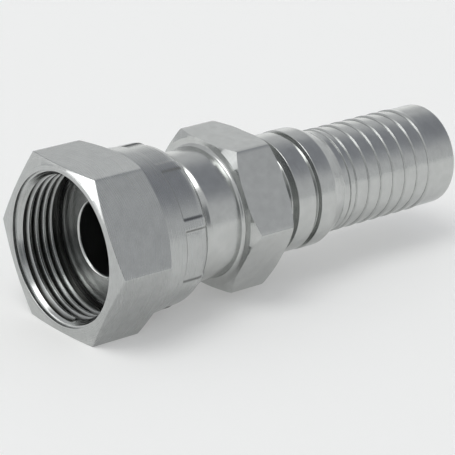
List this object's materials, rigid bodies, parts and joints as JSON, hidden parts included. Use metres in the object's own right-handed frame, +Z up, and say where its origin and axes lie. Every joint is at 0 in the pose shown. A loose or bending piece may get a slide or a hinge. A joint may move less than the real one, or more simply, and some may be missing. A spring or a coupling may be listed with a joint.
{
  "type": "hydraulic swivel crimp fitting",
  "caption": "Steel hose end for crimping: serrated hose tail, spanner hexagon and a captive swivel nut with an internal thread round a flat sealing face.",
  "frame": {"origin": "centre of the sealing face, on the fitting's axis", "axes": "+X along the axis towards the hose tail, +Z up, both hexagons with a flat facing -Z and corners along Y"},
  "size_m": [0.1152, 0.0474, 0.041],
  "materials": {
    "insert_steel": "zinc plated over fine turning marks, bright",
    "nut_steel": "zinc plated, bright where turned and satin on the drawn flats"
  },
  "bodies": {
    "insert": {"hose_insert": "insert_steel"},
    "nut": {"swivel_nut": "nut_steel"}
  },
  "joints": [
    {"name": "nut_spin", "type": "hinge", "parent": "insert", "child": "nut", "pos_m": [0, 0, 0], "axis": [1, 0, 0], "continuous": true}
  ]
}
